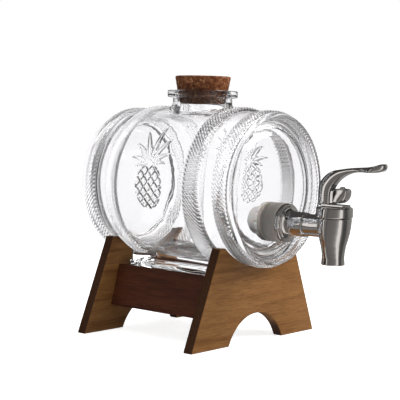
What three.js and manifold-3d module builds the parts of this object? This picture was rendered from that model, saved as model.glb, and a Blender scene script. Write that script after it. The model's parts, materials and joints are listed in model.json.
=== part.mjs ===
// Small glass barrel drink dispenser: barrel with neck and cork, lever tap, wooden cradle stand.
// Millimetres, +Z up. The tap points to -Y, the rear head of the barrel to +Y.
// X = 0 is the plane of symmetry. The origin is the bottom centre of the whole object.

import * as THREE from 'three';
import { mergeVertices } from 'three/addons/utils/BufferGeometryUtils.js';
import Module from 'manifold-3d';

// ---------- driving dimensions ----------

const GAP = 0.3; // clearance wherever two pieces meet

const BARREL_HALF_LENGTH = 72.4;
const BARREL_AXIS_Z = 110.5;
const BELLY_RADIUS = 57.6;
const SADDLE_STRIP_RADIUS = 54.5; // smooth strip that lies in the stand's saddles
const INNER_BAND = { start: 31, end: 45, crown: 58 }; // rope bands, by distance from the middle
const OUTER_BAND = { start: 56.6, end: 68.6, crown: 56 };
const HEAD_RADIUS = 50.3; // recessed flat end of the barrel
const HEAD_RECESS = 3.6;
const GLASS_WALL = 4;
const HEAD_FACE_Y = BARREL_HALF_LENGTH - HEAD_RECESS;

const NECK_RADIUS = 21.9;
const LIP_RADIUS = 25.95;
const LIP_TOP_Z = 180;
const LIP_HEIGHT = 5;

const CORK_TOP_Z = 190.6;
const CORK_BOTTOM_Z = 168.9;
const CORK_TOP_RADIUS = 20.9;
const CORK_BOTTOM_RADIUS = 17;

const FOOT_HALF_LENGTH = 46.8;
const FOOT_HALF_WIDTH = 27.5;
const FOOT_BOTTOM_Z = 46.5;
const FOOT_CORNER_RADIUS = 3;

const PANEL_HEIGHT = 70;
const PANEL_THICKNESS = 8;
const PANEL_INNER_Y = 47.8; // inner face of each end panel
const PANEL_FOOT_HALF_WIDTH = 71.3;
const PANEL_TOP_HALF_WIDTH = 43;
const ARCH_HALF_WIDTH = 30.7;
const ARCH_HEIGHT = 20.6;
const SADDLE_RADIUS = SADDLE_STRIP_RADIUS + GAP;

const STRETCHER_HEIGHT = 31;
const STRETCHER_THICKNESS = 8;
const STRETCHER_LEAN = THREE.MathUtils.degToRad(15);
const STRETCHER_X = 36.7;
const STRETCHER_Z = 33.3;
const STRETCHER_HALF_LENGTH = PANEL_INNER_Y - GAP;

const DOWEL_RADIUS = 2.5;
const DOWEL_SPREAD = 9; // each dowel's distance from the middle of the board
const DOWEL_OUTER_Y = 53;
const DOWEL_INNER_Y = 37;

const TAP_AXIS_Y = -120; // vertical axis of the valve, from the middle of the barrel
const SHANK_Z = 87.6;
const THREAD_RADIUS = 8;
const THREAD_END = 48.5; // rear end of the threaded tail, forward of the barrel's middle
const SHANK_BORE_RADIUS = 4.5;
const SHANK_RADIUS = 8.5; // behind the step
const SHANK_STEP = 98; // forward of the barrel's middle
const SLIM_SHANK_RADIUS = 7.75; // between step and valve
const FLANGE_RADIUS = 13.75;
const GASKET_RADIUS = 14;
const OUTER_GASKET_LENGTH = 10; // spans the deep recess of the head
const INNER_GASKET_LENGTH = 2.2;
const NUT_FLANGE_RADIUS = 14;
const NUT_HUB_RADIUS = 9.9;
const NUT_LENGTH = 12;
const SPOUT_BOTTOM_Z = 61.9;
const BODY_TOP_Z = 94;
const SPIGOT_TOP_Z = 96.9;
const SPIGOT_RADIUS = 10.2;
const CHAMBER_RADIUS = 8.2;
const SEAT_Z = 76.5;
const SEAT_RADIUS = 4.5;

const BONNET_RADIUS = 12.7;
const BONNET_TOP_Z = 101.5;
const BONNET_CEILING_Z = 98.9;

const STEM_RADIUS = 1.6;
const STEM_BOTTOM_Z = 79.3;
const STEM_TOP_Z = 109.6;
const CUP_TOP_Z = 85;
const SPRING_RADIUS = 4.8;
const SPRING_WIRE_RADIUS = 0.5;
const SPRING_TURNS = 4.5;

const HINGE_Y = -115.2; // lever hinge, across the back of the stem head
const HINGE_Z = 109.5;
const PIN_RADIUS = 1.3;
const LEVER_TIP_Y = -160;
const LEVER_BACK_Y = -107.6;
const LEVER_HALF_WIDTH = 4.5; // at the yoke
const PADDLE_HALF_WIDTH = 6.5;
const TONGUE_HALF_WIDTH = 2.4;
const HEAD_HALF_WIDTH = 4.3; // stem head
const HEAD_BOTTOM_Z = 104.3;
const HEAD_TOP_Z = 114.4;
const HEAD_BACK_Y = -120.2;
const HEAD_FRONT_Y = -131.2;
const TONGUE_RADIUS = 2.9;
const BUTTON_Y = -126.2;

// Moves the barrel's middle back, so that the origin is midway between lever tip and rear head.
const BARREL_MIDDLE_Y = (-LEVER_TIP_Y - BARREL_HALF_LENGTH) / 2;

const ROUND = 48; // facets around large turned pieces
const SMALL_ROUND = 24; // facets around small turned pieces

// ---------- solids ----------

const wasm = await Module();
wasm.setup();

/** Turns a closed geometry into a solid, with its faces pointing out. */
function solid(geometry) {
  geometry.deleteAttribute('normal');
  geometry.deleteAttribute('uv');
  const merged = mergeVertices(geometry, 1e-4);
  const corners = merged.index.array;
  const points = new Float32Array(merged.attributes.position.array);
  const a = new THREE.Vector3();
  const b = new THREE.Vector3();
  const c = new THREE.Vector3();
  const triangles = [];
  let volume = 0;
  for (let i = 0; i < corners.length; i += 3) {
    const [p, q, r] = [corners[i], corners[i + 1], corners[i + 2]];
    if (p === q || q === r || r === p) continue; // a sliver on the turning axis
    triangles.push([p, q, r]);
    a.fromArray(points, 3 * p);
    b.fromArray(points, 3 * q);
    c.fromArray(points, 3 * r);
    volume += a.dot(b.cross(c));
  }
  const outward = volume > 0 ? triangles : triangles.map(([p, q, r]) => [p, r, q]);
  const triVerts = new Uint32Array(outward.flat());
  return new wasm.Manifold(new wasm.Mesh({ numProp: 3, vertProperties: points, triVerts }));
}

/** Turns a solid back into a geometry. */
function geometryOf(body) {
  const mesh = body.getMesh();
  const geometry = new THREE.BufferGeometry();
  geometry.setAttribute('position', new THREE.BufferAttribute(mesh.vertProperties, 3));
  geometry.setIndex(new THREE.BufferAttribute(mesh.triVerts, 1));
  return geometry;
}

/** A solid turned about Z from [radius, z] points that start and end on the axis. */
function turned(profile, segments = SMALL_ROUND) {
  const points = profile.map(([radius, z]) => new THREE.Vector2(radius, z));
  return solid(new THREE.LatheGeometry(points, segments).rotateX(Math.PI / 2));
}

/** A solid turned about the barrel's axis from [radius, y] points that start and end on the axis. */
function turnedAlongY(profile, segments = ROUND) {
  const points = profile.map(([radius, y]) => new THREE.Vector2(radius, y));
  return solid(new THREE.LatheGeometry(points, segments).translate(0, 0, BARREL_AXIS_Z));
}

/** A solid turned about the tap's shank from [radius, distance forward of the barrel's middle]. */
function turnedForward(profile, segments = SMALL_ROUND) {
  return turned(profile, segments).rotate([90, 0, 0]).translate([0, 0, SHANK_Z]);
}

/** A ring about Z between two radii and two heights. */
function ring(innerRadius, outerRadius, bottom, top, segments = SMALL_ROUND) {
  const rod = turned([[0, bottom], [outerRadius, bottom], [outerRadius, top], [0, top]], segments);
  const bore = turned(
    [[0, bottom - 1], [innerRadius, bottom - 1], [innerRadius, top + 1], [0, top + 1]], segments);
  return rod.subtract(bore);
}

/** An outline in X and Z, extruded along Y from frontY to backY. */
function extrudedAlongY(shape, frontY, backY, curveSegments = 24) {
  const settings = { depth: backY - frontY, bevelEnabled: false, curveSegments };
  return solid(new THREE.ExtrudeGeometry(shape, settings).rotateX(Math.PI / 2).translate(0, backY, 0));
}

/** An outline in Y and Z, extruded along X from minX to maxX. */
function extrudedAlongX(shape, minX, maxX, curveSegments = 12) {
  const settings = { depth: maxX - minX, bevelEnabled: false, curveSegments };
  const toYZ = new THREE.Matrix4().makeBasis(
    new THREE.Vector3(0, 1, 0), new THREE.Vector3(0, 0, 1), new THREE.Vector3(1, 0, 0));
  return solid(new THREE.ExtrudeGeometry(shape, settings).applyMatrix4(toYZ).translate(minX, 0, 0));
}

/** An outline in X and Y, extruded along Z from bottom to top. */
function extrudedAlongZ(shape, bottom, top, curveSegments = 12) {
  const settings = { depth: top - bottom, bevelEnabled: false, curveSegments };
  return solid(new THREE.ExtrudeGeometry(shape, settings).translate(0, 0, bottom));
}

/** A box between two corners. */
function block(minX, maxX, minY, maxY, minZ, maxZ) {
  const box = new THREE.BoxGeometry(maxX - minX, maxY - minY, maxZ - minZ);
  return solid(box.translate((minX + maxX) / 2, (minY + maxY) / 2, (minZ + maxZ) / 2));
}

/** A round bar along X. */
function barAlongX(radius, minX, maxX, y, z) {
  const bar = new THREE.CylinderGeometry(radius, radius, maxX - minX, 20).rotateZ(Math.PI / 2);
  return solid(bar.translate((minX + maxX) / 2, y, z));
}

// ---------- stand ----------

/** Outline of an end panel: splayed sides, arch between the feet, saddle for the barrel. */
function panelShape() {
  const archRadius = (ARCH_HALF_WIDTH ** 2 + ARCH_HEIGHT ** 2) / (2 * ARCH_HEIGHT);
  const archCentreZ = ARCH_HEIGHT - archRadius;
  const archAngle = Math.atan2(-archCentreZ, ARCH_HALF_WIDTH);
  const saddleDrop = BARREL_AXIS_Z - PANEL_HEIGHT;
  const saddleHalfWidth = Math.sqrt(SADDLE_RADIUS ** 2 - saddleDrop ** 2);
  const saddleAngle = Math.atan2(-saddleDrop, saddleHalfWidth);
  const shape = new THREE.Shape();
  shape.moveTo(-PANEL_FOOT_HALF_WIDTH, 0);
  shape.lineTo(-ARCH_HALF_WIDTH, 0);
  shape.absarc(0, archCentreZ, archRadius, Math.PI - archAngle, archAngle, true);
  shape.lineTo(PANEL_FOOT_HALF_WIDTH, 0);
  shape.lineTo(PANEL_TOP_HALF_WIDTH, PANEL_HEIGHT);
  shape.absarc(0, BARREL_AXIS_Z, SADDLE_RADIUS, saddleAngle, -Math.PI - saddleAngle, true);
  shape.lineTo(-PANEL_TOP_HALF_WIDTH, PANEL_HEIGHT);
  shape.closePath();
  return shape;
}

/** Puts a solid made about the Y axis into a stretcher's place: side -1 is left, +1 is right. */
function atStretcher(body, side) {
  const lean = side * THREE.MathUtils.radToDeg(STRETCHER_LEAN);
  return body.rotate([0, -lean, 0]).translate([side * STRETCHER_X, 0, STRETCHER_Z]);
}

/** A dowel, or with clearance the blind holes for it: end -1 is the front, +1 the rear. */
function dowel(side, end, level, clearance = 0) {
  const length = DOWEL_OUTER_Y - DOWEL_INNER_Y + 2 * clearance;
  const radius = DOWEL_RADIUS + clearance;
  const rod = new THREE.CylinderGeometry(radius, radius, length, 16);
  rod.translate(0, (end * (DOWEL_OUTER_Y + DOWEL_INNER_Y)) / 2, level * DOWEL_SPREAD);
  return atStretcher(solid(rod), side);
}

const SIDES = { left: -1, right: 1 };
const ENDS = { front: -1, rear: 1 };
const LEVELS = { low: -1, high: 1 };

function endPanel(end) {
  const innerY = end * PANEL_INNER_Y;
  const outerY = end * (PANEL_INNER_Y + PANEL_THICKNESS);
  let panel = extrudedAlongY(panelShape(), Math.min(innerY, outerY), Math.max(innerY, outerY));
  for (const side of Object.values(SIDES)) {
    for (const level of Object.values(LEVELS)) {
      panel = panel.subtract(dowel(side, end, level, GAP));
    }
  }
  return panel;
}

function stretcher(side) {
  const halfThickness = STRETCHER_THICKNESS / 2;
  const halfHeight = STRETCHER_HEIGHT / 2;
  let board = atStretcher(block(-halfThickness, halfThickness,
    -STRETCHER_HALF_LENGTH, STRETCHER_HALF_LENGTH, -halfHeight, halfHeight), side);
  for (const end of Object.values(ENDS)) {
    for (const level of Object.values(LEVELS)) {
      board = board.subtract(dowel(side, end, level, GAP));
    }
  }
  return board;
}

// ---------- glass barrel and cork ----------

/** Points of a raised band, from the radius before it to the radius after it. */
function band({ start, end, crown }, radiusBefore, radiusAfter) {
  const middle = (start + end) / 2;
  const crownHalf = 0.32 * (end - start);
  return [
    [radiusBefore, start],
    [crown, middle - crownHalf],
    [crown, middle + crownHalf],
    [radiusAfter, end],
  ];
}

/** A full profile from the points of its +Y half, which start nearest the middle. */
function mirroredProfile(half) {
  const front = half.map(([radius, y]) => [radius, -y]).reverse();
  return [...front, ...half];
}

function barrelOutside() {
  const shoulder = OUTER_BAND.end;
  const half = [
    [BELLY_RADIUS, 10],
    [BELLY_RADIUS - 0.2, 22],
    ...band(INNER_BAND, BELLY_RADIUS - 0.5, SADDLE_STRIP_RADIUS + 0.5),
    [SADDLE_STRIP_RADIUS, INNER_BAND.end + 1.4],
    ...band(OUTER_BAND, SADDLE_STRIP_RADIUS, HEAD_RADIUS + 4.4),
    [HEAD_RADIUS + 4, shoulder + 1],
    [HEAD_RADIUS + 3.1, BARREL_HALF_LENGTH - 1],
    [HEAD_RADIUS + 2, BARREL_HALF_LENGTH],
    [HEAD_RADIUS + 1.1, BARREL_HALF_LENGTH],
    [HEAD_RADIUS + 0.4, BARREL_HALF_LENGTH - 1],
    [HEAD_RADIUS, HEAD_FACE_Y],
    [0, HEAD_FACE_Y],
  ];
  return turnedAlongY(mirroredProfile(half));
}

function barrelCavity() {
  const stripInside = SADDLE_STRIP_RADIUS - GLASS_WALL;
  const headInside = HEAD_FACE_Y - GLASS_WALL;
  const half = [
    [BELLY_RADIUS - GLASS_WALL, 12],
    [BELLY_RADIUS - GLASS_WALL - 1, 36],
    [stripInside + 0.1, 50],
    [stripInside - 0.1, 58],
    [stripInside - 1.5, headInside - 3.3],
    [stripInside - 5, headInside - 0.5],
    [stripInside - 8.5, headInside],
    [0, headInside],
  ];
  return turnedAlongY(mirroredProfile(half));
}

function neckOutside() {
  const lipBottom = LIP_TOP_Z - LIP_HEIGHT;
  return turned([
    [0, 150], [NECK_RADIUS + 2.4, 150], [NECK_RADIUS + 2.4, 165.3], [NECK_RADIUS + 0.8, 167.8],
    [NECK_RADIUS, 169.8], [NECK_RADIUS, lipBottom - 0.6], [LIP_RADIUS - 0.6, lipBottom],
    [LIP_RADIUS, lipBottom + 0.8], [LIP_RADIUS, LIP_TOP_Z - 0.8], [LIP_RADIUS - 0.8, LIP_TOP_Z],
    [0, LIP_TOP_Z],
  ], ROUND);
}

/** Radius of the cork's cone at a height. */
function corkRadius(z) {
  const taper = (CORK_TOP_RADIUS - CORK_BOTTOM_RADIUS) / (CORK_TOP_Z - CORK_BOTTOM_Z);
  return CORK_BOTTOM_RADIUS + taper * (z - CORK_BOTTOM_Z);
}

function neckBore() {
  const above = LIP_TOP_Z + 1;
  const throat = corkRadius(CORK_BOTTOM_Z) + GAP;
  return turned([
    [0, 140], [throat, 140], [throat, CORK_BOTTOM_Z], [corkRadius(above) + GAP, above], [0, above],
  ], ROUND);
}

/** Oval moulded foot under the belly. */
function barrelFoot() {
  const corner = FOOT_CORNER_RADIUS;
  const x = FOOT_HALF_WIDTH;
  const y = FOOT_HALF_LENGTH;
  const shape = new THREE.Shape();
  shape.absarc(x - corner, -y + corner, corner, -Math.PI / 2, 0);
  shape.absarc(x - corner, y - corner, corner, 0, Math.PI / 2);
  shape.absarc(-x + corner, y - corner, corner, Math.PI / 2, Math.PI);
  shape.absarc(-x + corner, -y + corner, corner, Math.PI, 1.5 * Math.PI);
  shape.closePath();
  const topInsideWall = BARREL_AXIS_Z - SADDLE_STRIP_RADIUS + 9;
  return extrudedAlongZ(shape, FOOT_BOTTOM_Z, topInsideWall, 4);
}

function tapHole() {
  const radius = THREAD_RADIUS + 0.6;
  const inside = HEAD_FACE_Y - 2 * GLASS_WALL;
  const outside = BARREL_HALF_LENGTH + 1;
  return turnedForward([[0, inside], [radius, inside], [radius, outside], [0, outside]]);
}

function glassBarrel() {
  const outside = barrelOutside().add(neckOutside()).add(barrelFoot());
  return outside.subtract(barrelCavity()).subtract(neckBore()).subtract(tapHole());
}

function corkStopper() {
  return turned([
    [0, CORK_BOTTOM_Z],
    [corkRadius(CORK_BOTTOM_Z) - 0.6, CORK_BOTTOM_Z],
    [corkRadius(CORK_BOTTOM_Z + 0.7), CORK_BOTTOM_Z + 0.7],
    [corkRadius(CORK_TOP_Z - 0.7), CORK_TOP_Z - 0.7],
    [corkRadius(CORK_TOP_Z) - 0.7, CORK_TOP_Z],
    [0, CORK_TOP_Z],
  ], ROUND);
}

// ---------- tap: fixed pieces ----------

const OUTER_GASKET_START = HEAD_FACE_Y + GAP; // distances forward of the barrel's middle
const OUTER_GASKET_END = OUTER_GASKET_START + OUTER_GASKET_LENGTH;
const FLANGE_START = OUTER_GASKET_END + GAP;
const INNER_GASKET_END = HEAD_FACE_Y - GLASS_WALL - GAP;
const INNER_GASKET_START = INNER_GASKET_END - INNER_GASKET_LENGTH;
const NUT_END = INNER_GASKET_START - GAP;
const NUT_START = NUT_END - NUT_LENGTH;

/** A washer on the shank between two distances forward of the barrel's middle. */
function shankWasher(start, end) {
  const washer = ring(THREAD_RADIUS + GAP, GASKET_RADIUS, start, end);
  return washer.rotate([90, 0, 0]).translate([0, 0, SHANK_Z]);
}

/** Nut inside the barrel: a slim hub behind a wide flange. */
function lockNut() {
  const chamfer = 0.6;
  const flangeStart = NUT_END - 2.4;
  const body = turnedForward([
    [0, NUT_START], [NUT_HUB_RADIUS - chamfer, NUT_START], [NUT_HUB_RADIUS, NUT_START + chamfer],
    [NUT_HUB_RADIUS, flangeStart - 1.8], [NUT_FLANGE_RADIUS - 1, flangeStart - 1],
    [NUT_FLANGE_RADIUS, flangeStart], [NUT_FLANGE_RADIUS, NUT_END], [0, NUT_END],
  ]);
  const radius = THREAD_RADIUS + GAP;
  return body.subtract(turnedForward([
    [0, NUT_START - 1], [radius, NUT_START - 1], [radius, NUT_END + 1], [0, NUT_END + 1],
  ]));
}

/** Threaded tail, flange and stepped shank, up to the valve. */
function tapShank() {
  const shankEnd = -TAP_AXIS_Y - 6;
  return turnedForward([
    [0, THREAD_END], [THREAD_RADIUS, THREAD_END], [THREAD_RADIUS, FLANGE_START],
    [FLANGE_RADIUS, FLANGE_START], [FLANGE_RADIUS, FLANGE_START + 2.2],
    [FLANGE_RADIUS - 0.6, FLANGE_START + 2.8], [FLANGE_RADIUS - 2.2, FLANGE_START + 3.4],
    [FLANGE_RADIUS - 3.6, FLANGE_START + 4.2], [SHANK_RADIUS + 0.5, FLANGE_START + 5.4],
    [SHANK_RADIUS, FLANGE_START + 7.5], [SHANK_RADIUS, SHANK_STEP],
    [SLIM_SHANK_RADIUS, SHANK_STEP + 0.4], [SLIM_SHANK_RADIUS, shankEnd], [0, shankEnd],
  ]);
}

function tapBody() {
  const roomForBonnet = turned([
    [0, BODY_TOP_Z], [BONNET_RADIUS + GAP, BODY_TOP_Z], [BONNET_RADIUS + GAP, BONNET_TOP_Z],
    [0, BONNET_TOP_Z],
  ]).translate([0, TAP_AXIS_Y, 0]);
  const upright = turned([
    [0, SPOUT_BOTTOM_Z], [8.1, SPOUT_BOTTOM_Z], [7.8, 66], [7.8, 69], [8.5, 74.6], [10.2, 80],
    [11.4, 86], [12, 90], [12.2, BODY_TOP_Z], [SPIGOT_RADIUS, BODY_TOP_Z],
    [SPIGOT_RADIUS, SPIGOT_TOP_Z], [0, SPIGOT_TOP_Z],
  ]).translate([0, TAP_AXIS_Y, 0]);
  const passage = turned([
    [0, SPOUT_BOTTOM_Z - 1], [5.8, SPOUT_BOTTOM_Z - 1], [SEAT_RADIUS, SEAT_Z - 6],
    [SEAT_RADIUS, SEAT_Z], [CHAMBER_RADIUS, SEAT_Z + 3.7], [CHAMBER_RADIUS, SPIGOT_TOP_Z + 1],
    [0, SPIGOT_TOP_Z + 1],
  ]).translate([0, TAP_AXIS_Y, 0]);
  const bore = turnedForward([
    [0, THREAD_END - 1], [SHANK_BORE_RADIUS, THREAD_END - 1],
    [SHANK_BORE_RADIUS, -TAP_AXIS_Y], [0, -TAP_AXIS_Y],
  ]);
  return tapShank().subtract(roomForBonnet).add(upright).subtract(passage).subtract(bore);
}

function tapBonnet() {
  const bottom = BODY_TOP_Z + GAP;
  const outside = turned([
    [0, bottom], [BONNET_RADIUS - 0.4, bottom], [BONNET_RADIUS, bottom + 0.6],
    [BONNET_RADIUS, BONNET_TOP_Z - 0.8], [BONNET_RADIUS - 0.8, BONNET_TOP_Z], [0, BONNET_TOP_Z],
  ]);
  const inside = turned([
    [0, bottom - 1], [SPIGOT_RADIUS + GAP, bottom - 1], [SPIGOT_RADIUS + GAP, BONNET_CEILING_Z],
    [STEM_RADIUS + GAP, BONNET_CEILING_Z], [STEM_RADIUS + GAP, BONNET_TOP_Z + 1],
    [0, BONNET_TOP_Z + 1],
  ]);
  return outside.subtract(inside).translate([0, TAP_AXIS_Y, 0]);
}

function bonnetSeal() {
  const seal = ring(CHAMBER_RADIUS, SPIGOT_RADIUS, SPIGOT_TOP_Z + GAP, BONNET_CEILING_Z - GAP);
  return seal.translate([0, TAP_AXIS_Y, 0]);
}

// ---------- tap: moving pieces ----------

/** Soft plug that closes on the cone of the seat, with a socket for the stem. */
function valveSeatCup() {
  const socketRadius = STEM_RADIUS + GAP;
  const socketBottom = STEM_BOTTOM_Z - GAP;
  return turned([
    [0, SEAT_Z - 0.6], [SEAT_RADIUS - 0.8, SEAT_Z - 0.6], [SEAT_RADIUS - 0.5, SEAT_Z],
    [CHAMBER_RADIUS - 0.9, SEAT_Z + 3.7], [CHAMBER_RADIUS - 0.9, CUP_TOP_Z - 3],
    [5, CUP_TOP_Z], [socketRadius, CUP_TOP_Z], [socketRadius, socketBottom], [0, socketBottom],
  ]).translate([0, TAP_AXIS_Y, 0]);
}

function valveStem() {
  const tip = 0.4;
  return turned([
    [0, STEM_BOTTOM_Z], [STEM_RADIUS - tip, STEM_BOTTOM_Z], [STEM_RADIUS, STEM_BOTTOM_Z + tip],
    [STEM_RADIUS, STEM_TOP_Z - tip], [STEM_RADIUS - tip, STEM_TOP_Z], [0, STEM_TOP_Z],
  ], 20).translate([0, TAP_AXIS_Y, 0]);
}

const WASHER_TOP_Z = CUP_TOP_Z + GAP + 1;

function springWasher() {
  const washer = ring(STEM_RADIUS + GAP, SPRING_RADIUS + 1.2, CUP_TOP_Z + GAP, WASHER_TOP_Z);
  return washer.translate([0, TAP_AXIS_Y, 0]);
}

/** Helix of the compression spring, from the washer up to the bonnet. */
class SpringCurve extends THREE.Curve {
  getPoint(t, target = new THREE.Vector3()) {
    const angle = 2 * Math.PI * SPRING_TURNS * t;
    const bottom = WASHER_TOP_Z + GAP + SPRING_WIRE_RADIUS;
    const top = BONNET_CEILING_Z - GAP - SPRING_WIRE_RADIUS;
    return target.set(
      SPRING_RADIUS * Math.cos(angle), SPRING_RADIUS * Math.sin(angle), bottom + (top - bottom) * t);
  }
}

function stemSpring() {
  const wire = new THREE.Shape();
  wire.absarc(0, 0, SPRING_WIRE_RADIUS, 0, 2 * Math.PI);
  const settings = { steps: 54, curveSegments: 3, bevelEnabled: false, extrudePath: new SpringCurve() };
  return solid(new THREE.ExtrudeGeometry(wire, settings)).translate([0, TAP_AXIS_Y, 0]);
}

/** Side and plan outlines of the stem head's nose, crossed. */
function stemHeadNose() {
  const backRound = 3.5;
  const frontRound = 2;
  const nose = new THREE.Shape();
  nose.moveTo(HEAD_BACK_Y, HEAD_BOTTOM_Z);
  nose.lineTo(HEAD_BACK_Y, HEAD_TOP_Z - backRound);
  nose.absarc(HEAD_BACK_Y - backRound, HEAD_TOP_Z - backRound, backRound, 0, Math.PI / 2);
  nose.absarc(HEAD_FRONT_Y + frontRound, HEAD_TOP_Z - frontRound, frontRound, Math.PI / 2, Math.PI);
  nose.quadraticCurveTo(HEAD_FRONT_Y, HEAD_BOTTOM_Z + 2.2, HEAD_FRONT_Y + 5.5, HEAD_BOTTOM_Z);
  nose.closePath();
  const corner = 2.5;
  const plan = new THREE.Shape();
  plan.moveTo(-HEAD_HALF_WIDTH, HEAD_BACK_Y + 1);
  plan.lineTo(-HEAD_HALF_WIDTH, HEAD_FRONT_Y + corner);
  plan.absarc(-HEAD_HALF_WIDTH + corner, HEAD_FRONT_Y + corner, corner, Math.PI, 1.5 * Math.PI);
  plan.absarc(HEAD_HALF_WIDTH - corner, HEAD_FRONT_Y + corner, corner, 1.5 * Math.PI, 2 * Math.PI);
  plan.lineTo(HEAD_HALF_WIDTH, HEAD_BACK_Y + 1);
  plan.closePath();
  return extrudedAlongX(nose, -HEAD_HALF_WIDTH, HEAD_HALF_WIDTH)
    .intersect(extrudedAlongZ(plan, HEAD_BOTTOM_Z - 1, HEAD_TOP_Z + 1));
}

/** Block on top of the stem: a nose that points forward, and a tongue that holds the hinge pin. */
function stemHead() {
  const neck = new THREE.Shape();
  neck.moveTo(HINGE_Y, HINGE_Z + TONGUE_RADIUS);
  neck.lineTo(HEAD_BACK_Y - 1, HINGE_Z + TONGUE_RADIUS);
  neck.lineTo(HEAD_BACK_Y - 1, HEAD_BOTTOM_Z);
  neck.lineTo(HINGE_Y - 2, HEAD_BOTTOM_Z);
  neck.lineTo(HINGE_Y, HINGE_Z - TONGUE_RADIUS);
  neck.closePath();
  const tongue = extrudedAlongX(neck, -TONGUE_HALF_WIDTH, TONGUE_HALF_WIDTH)
    .add(barAlongX(TONGUE_RADIUS, -TONGUE_HALF_WIDTH, TONGUE_HALF_WIDTH, HINGE_Y, HINGE_Z));
  const button = turned([
    [0, HEAD_TOP_Z - 1], [2, HEAD_TOP_Z - 1], [2, HEAD_TOP_Z + 0.3], [1.5, HEAD_TOP_Z + 1],
    [0, HEAD_TOP_Z + 1.3],
  ], 20).translate([0, BUTTON_Y, 0]);
  const socket = turned([
    [0, HEAD_BOTTOM_Z - 1], [STEM_RADIUS + GAP, HEAD_BOTTOM_Z - 1],
    [STEM_RADIUS + GAP, STEM_TOP_Z + GAP], [0, STEM_TOP_Z + GAP],
  ], 20).translate([0, TAP_AXIS_Y, 0]);
  const pinHole = barAlongX(PIN_RADIUS + GAP, -5, 5, HINGE_Y, HINGE_Z);
  return stemHeadNose().add(tongue).add(button).subtract(socket).subtract(pinHole);
}

function leverPin() {
  return barAlongX(PIN_RADIUS, -LEVER_HALF_WIDTH + 0.8, LEVER_HALF_WIDTH - 0.1, HINGE_Y, HINGE_Z);
}

/** Side outline of the lever: yoke over the stem head, arched arm, upturned paddle. */
function leverSideShape() {
  const bottom = BONNET_TOP_Z + 0.4;
  const plateTop = bottom + 1.5;
  const toeY = -130.9;
  const innerY = -117.6;
  const shape = new THREE.Shape();
  shape.moveTo(toeY, bottom);
  shape.lineTo(LEVER_BACK_Y - 3.2, bottom);
  shape.quadraticCurveTo(LEVER_BACK_Y, bottom, LEVER_BACK_Y, bottom + 3.2);
  shape.lineTo(LEVER_BACK_Y, 113.5);
  shape.splineThru([
    new THREE.Vector2(-108.3, 117.3), new THREE.Vector2(-111, 121), new THREE.Vector2(-114.8, 124.2),
    new THREE.Vector2(-119.3, 126.3), new THREE.Vector2(-125, 127.4), new THREE.Vector2(-132, 128.5),
    new THREE.Vector2(-139, 129.2), new THREE.Vector2(-146, 129.6), new THREE.Vector2(-152, 130.2),
    new THREE.Vector2(-156, 131.5), new THREE.Vector2(-158.2, 133),
  ]);
  shape.quadraticCurveTo(-159.8, 133.6, LEVER_TIP_Y, 131.4);
  shape.quadraticCurveTo(-159.8, 127.4, -155.5, 126.4);
  shape.splineThru([
    new THREE.Vector2(-149, 126), new THREE.Vector2(-143, 126.1), new THREE.Vector2(-138.5, 126),
    new THREE.Vector2(-134, 125.3), new THREE.Vector2(-130, 123.9), new THREE.Vector2(-126, 121.8),
    new THREE.Vector2(-122.4, 118.8), new THREE.Vector2(-119.6, 115.4),
    new THREE.Vector2(-118.1, 112.6), new THREE.Vector2(innerY, 110),
  ]);
  shape.lineTo(innerY, plateTop + 1);
  shape.quadraticCurveTo(innerY, plateTop, innerY - 1, plateTop);
  shape.lineTo(toeY + 0.6, plateTop);
  shape.quadraticCurveTo(toeY, plateTop, toeY, plateTop - 0.6);
  shape.closePath();
  return shape;
}

/** Plan outline of the lever: round back corners, waist, oval paddle. */
function leverPlanShape() {
  const corner = 2.8;
  const arcX = LEVER_HALF_WIDTH - corner;
  const arcY = LEVER_BACK_Y - corner;
  const half = [
    [LEVER_HALF_WIDTH, -122], [4, -130], [3.9, -136], [5.2, -143],
    [PADDLE_HALF_WIDTH, -150], [5.9, -155.5], [3.6, -159],
  ];
  const side = (sign) => half.map(([x, y]) => new THREE.Vector2(sign * x, y));
  const shape = new THREE.Shape();
  shape.moveTo(0, LEVER_BACK_Y);
  shape.lineTo(arcX, LEVER_BACK_Y);
  shape.absarc(arcX, arcY, corner, Math.PI / 2, 0, true);
  shape.lineTo(LEVER_HALF_WIDTH, -122);
  shape.splineThru(side(1).slice(1));
  shape.quadraticCurveTo(2.2, LEVER_TIP_Y, 0, LEVER_TIP_Y);
  shape.quadraticCurveTo(-2.2, LEVER_TIP_Y, -3.6, -159);
  shape.splineThru(side(-1).reverse().slice(1));
  shape.lineTo(-LEVER_HALF_WIDTH, arcY);
  shape.absarc(-arcX, arcY, corner, Math.PI, Math.PI / 2, true);
  shape.closePath();
  return shape;
}

function tapLever() {
  const slotHalfWidth = TONGUE_HALF_WIDTH + GAP;
  const arm = extrudedAlongX(leverSideShape(), -PADDLE_HALF_WIDTH, PADDLE_HALF_WIDTH, 5)
    .intersect(extrudedAlongZ(leverPlanShape(), 95, 140, 6));
  const slot = block(-slotHalfWidth, slotHalfWidth, -124.2, -111.6, 100, 116.5);
  const dish = solid(new THREE.SphereGeometry(1, 24, 16).scale(5, 8.6, 2.6).rotateX(-0.1)
    .translate(0, -149.8, 131.2));
  const pinHole = barAlongX(PIN_RADIUS + GAP, -LEVER_HALF_WIDTH + 0.5, 8, HINGE_Y, HINGE_Z);
  return arm.subtract(slot).subtract(dish).subtract(pinHole);
}

// ---------- assembly ----------

const group = new THREE.Group();
group.position.y = BARREL_MIDDLE_Y;

/** Adds one named piece with its own material. */
function addPiece(name, body, color, roughness, metalness, glass = {}) {
  const material = new THREE.MeshStandardMaterial({ color, roughness, metalness, ...glass });
  const mesh = new THREE.Mesh(geometryOf(body), material);
  mesh.name = name;
  group.add(mesh);
}

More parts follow.
